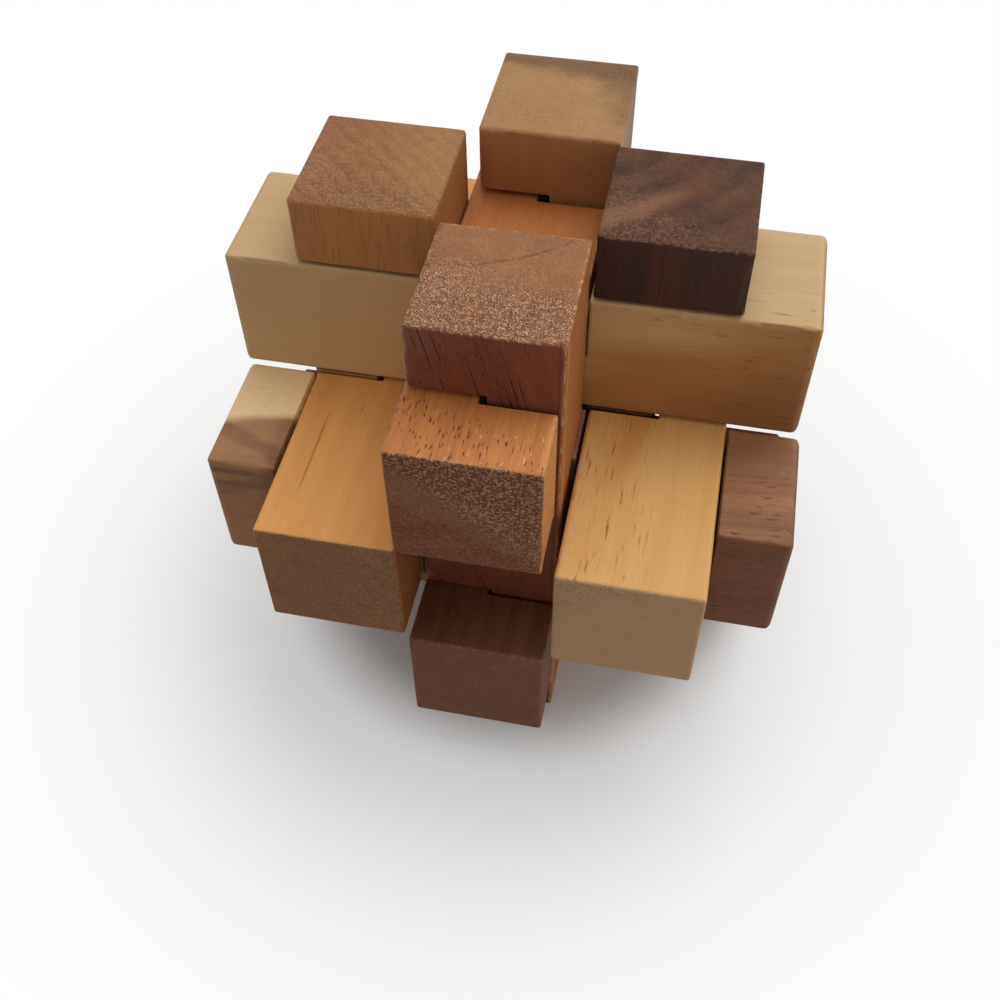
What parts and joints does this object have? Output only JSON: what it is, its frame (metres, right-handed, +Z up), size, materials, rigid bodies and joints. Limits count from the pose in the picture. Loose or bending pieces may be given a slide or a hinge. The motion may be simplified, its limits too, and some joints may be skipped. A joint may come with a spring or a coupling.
{
  "type": "burr puzzle",
  "caption": "Interlocking wooden burr puzzle of like notched bars in mixed woods, four to each axis, whose two halves slide apart sideways as the first move.",
  "frame": {"origin": "middle of the puzzle's plan, on the surface that its four upright bars stand on", "axes": "+Z up along the upright bars, +X to the right along the crossbars and along the opening slide, +Y to the back along the through bars"},
  "size_m": [0.0808, 0.0802, 0.08],
  "materials": {
    "oak_brown_wood": "light brown hardwood, sanded, with a dull oil sheen",
    "dark_walnut_wood": "dark walnut-like hardwood with near-black figure, sanded, with a dull oil sheen",
    "rosy_brown_wood": "rosy brown ring-porous hardwood with open pores, sanded",
    "pale_tan_wood": "pale tan hardwood with darker heart at one side, sanded",
    "pale_pine_wood": "pale yellow softwood, planed and sanded smooth",
    "deep_brown_wood": "deep brown hardwood, sanded",
    "striped_brown_wood": "brown striped heartwood with cream sapwood at one end, sanded",
    "warm_brown_wood": "warm brown hardwood, sanded",
    "red_mahogany_wood": "reddish orange mahogany-like hardwood with short dark pores, sanded",
    "red_brown_wood": "reddish brown hardwood, sanded",
    "honey_wood": "honey-orange wood with faint long streaks, sanded",
    "streaked_pine_wood": "pale yellow softwood with small brown resin streaks, sanded"
  },
  "bodies": {
    "standing_half": {"upright_left": "oak_brown_wood", "upright_right": "dark_walnut_wood", "crossbar_top": "pale_pine_wood", "crossbar_bottom": "deep_brown_wood", "through_bar_top": "red_mahogany_wood", "through_bar_bottom": "red_brown_wood"},
    "sliding_half": {"upright_front": "rosy_brown_wood", "upright_back": "pale_tan_wood", "crossbar_front": "striped_brown_wood", "crossbar_back": "warm_brown_wood", "through_bar_left": "honey_wood", "through_bar_right": "streaked_pine_wood"}
  },
  "joints": [
    {"name": "opening_slide", "type": "slide", "parent": "standing_half", "child": "sliding_half", "axis": [1, 0, 0], "range_m": [0, 0.02]}
  ]
}
